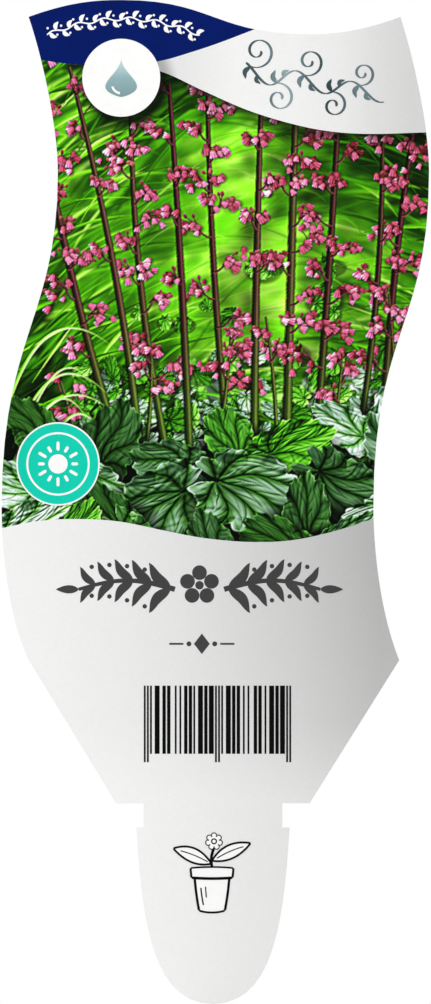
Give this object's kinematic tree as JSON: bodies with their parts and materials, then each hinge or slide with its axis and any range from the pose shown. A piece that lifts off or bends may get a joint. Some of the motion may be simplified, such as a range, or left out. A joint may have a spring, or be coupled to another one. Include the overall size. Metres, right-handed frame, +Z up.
{
  "type": "printed plant label",
  "caption": "Flat die-cut plastic plant label with wavy sides, a garden picture printed on its face and a rounded push-in tongue with small barbs.",
  "frame": {"origin": "middle of the shoulder line on the back face, where the push-in tongue meets the head", "axes": "+Z up along the label, from the tongue's tip to the wavy top edge; +Y out of the plain back; the printed face looks along -Y"},
  "size_m": [0.073, 0.0005, 0.1713],
  "materials": {
    "white_plastic": "satin white polypropylene sheet",
    "printed_face": "offset print under a thin clear varnish"
  },
  "bodies": {
    "root": {"label": "white_plastic"}
  },
  "joints": []
}
